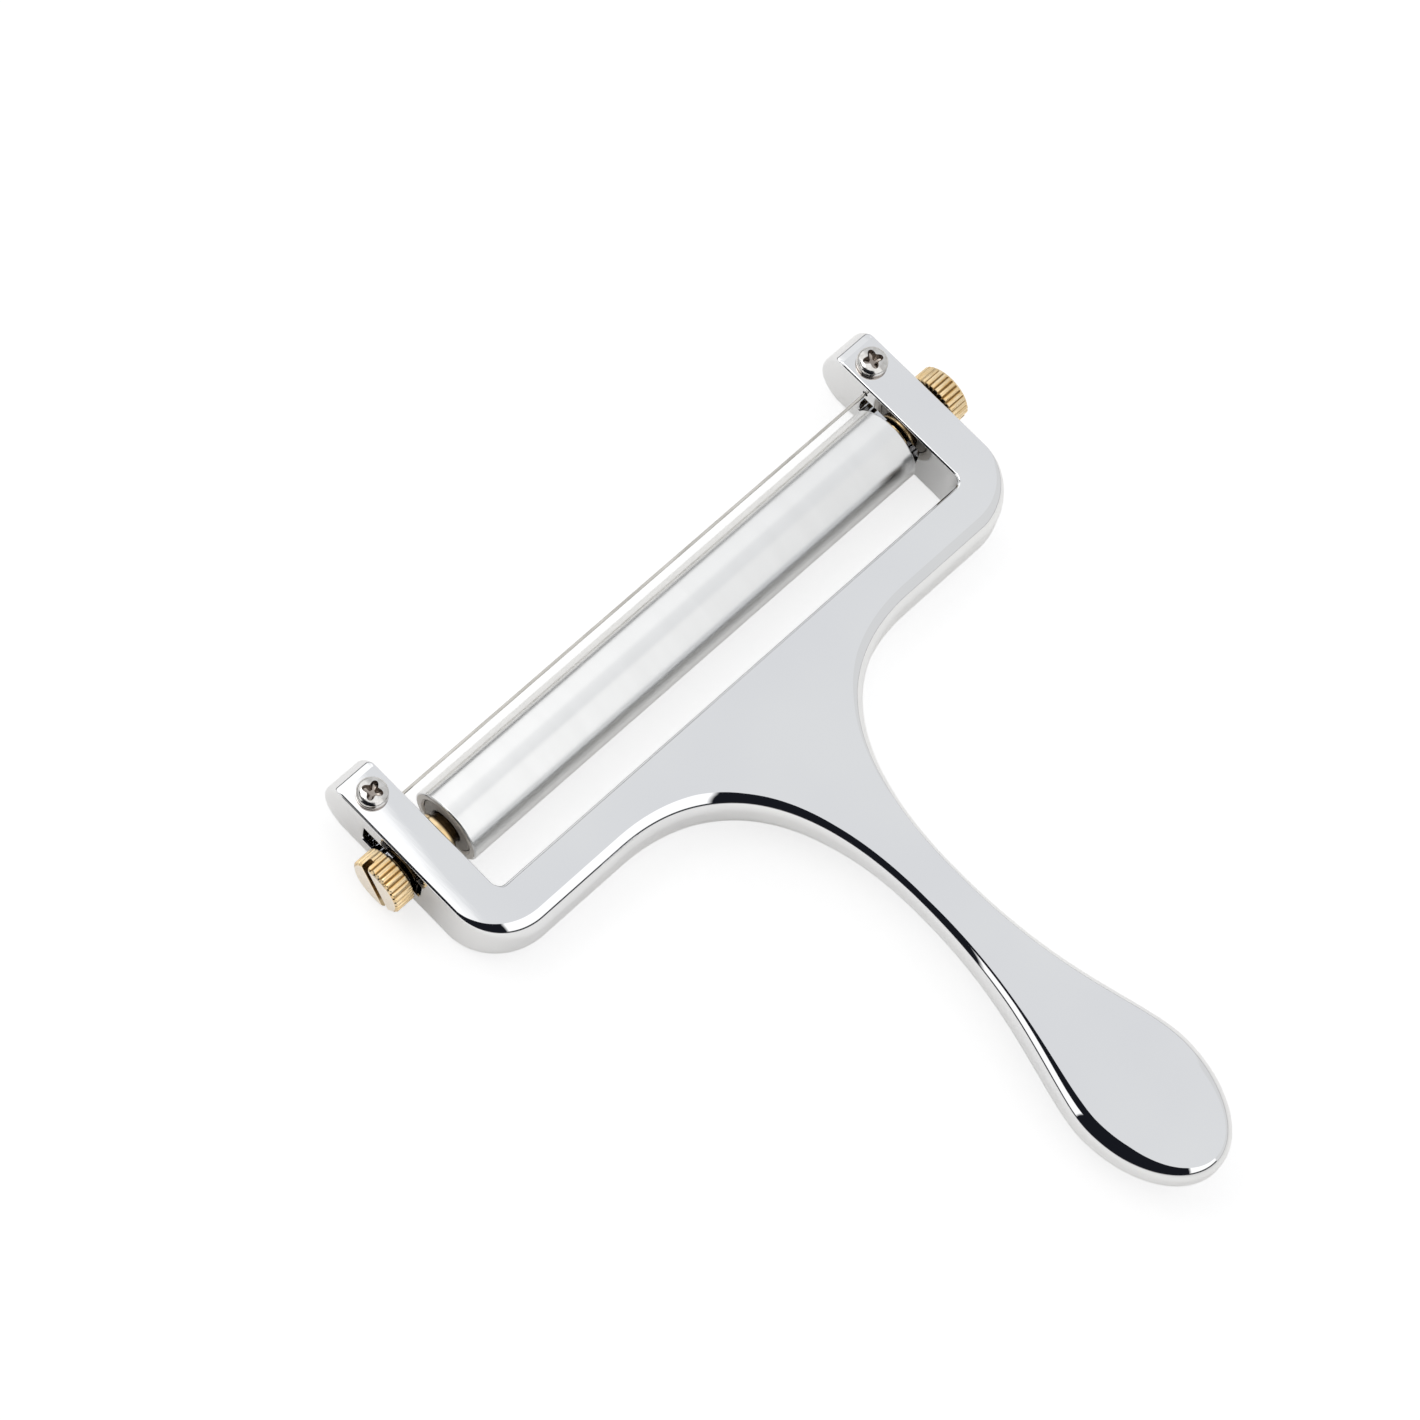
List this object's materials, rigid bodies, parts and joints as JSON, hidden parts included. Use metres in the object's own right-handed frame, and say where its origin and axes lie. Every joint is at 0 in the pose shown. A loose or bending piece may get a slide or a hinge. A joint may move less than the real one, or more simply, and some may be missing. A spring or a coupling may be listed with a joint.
{
  "type": "roller cheese slicer with a cutting wire",
  "caption": "Hand-held cheese slicer: chromed two-armed frame with a flat handle, a cutting wire between the arms and an adjustable aluminium roller with brass thumbscrews.",
  "frame": {"origin": "on the flat top face, in the middle of the crossbar", "axes": "+X along the wire and the roller, +Y from the handle towards the arm tips, +Z out of the flat top face"},
  "size_m": [0.144, 0.1554, 0.0164],
  "materials": {
    "chromed_casting": "polished chrome plate on a die casting",
    "wire_steel": "drawn stainless wire",
    "satin_aluminium": "fine-turned satin",
    "dark_plastic": "moulded bearing plastic",
    "turned_brass": "turned, straight-knurled rim",
    "screw_steel": "bright plated screw"
  },
  "bodies": {
    "frame": {"frame": "chromed_casting", "cutting_wire": "wire_steel"},
    "carriage": {"hub_left": "turned_brass", "hub_right": "turned_brass"},
    "roller": {"roller_tube": "satin_aluminium", "roller_bush_left": "dark_plastic", "roller_bush_right": "dark_plastic"},
    "thumbscrew_left": {"thumbscrew_left": "turned_brass"},
    "thumbscrew_right": {"thumbscrew_right": "turned_brass"},
    "clamp_screw_left": {"clamp_screw_left": "screw_steel"},
    "clamp_screw_right": {"clamp_screw_right": "screw_steel"}
  },
  "joints": [
    {"name": "roller_adjust", "type": "slide", "parent": "frame", "child": "carriage", "axis": [0, 1, 0], "range_m": [-0.0028, 0.0016]},
    {"name": "roller_spin", "type": "hinge", "parent": "carriage", "child": "roller", "pos_m": [0, 0.0208, -0.00675], "axis": [1, 0, 0], "continuous": true},
    {"name": "thumbscrew_left_turn", "type": "hinge", "parent": "carriage", "child": "thumbscrew_left", "pos_m": [-0.07, 0.0208, -0.00675], "axis": [-1, 0, 0], "range_deg": [0, 360]},
    {"name": "thumbscrew_right_turn", "type": "hinge", "parent": "carriage", "child": "thumbscrew_right", "pos_m": [0.07, 0.0208, -0.00675], "axis": [1, 0, 0], "range_deg": [0, 360]},
    {"name": "clamp_screw_left_turn", "type": "hinge", "parent": "frame", "child": "clamp_screw_left", "pos_m": [-0.06225, 0.0323, 0], "axis": [0, 0, 1], "range_deg": [0, 360]},
    {"name": "clamp_screw_right_turn", "type": "hinge", "parent": "frame", "child": "clamp_screw_right", "pos_m": [0.06225, 0.0323, 0], "axis": [0, 0, 1], "range_deg": [0, 360]}
  ]
}
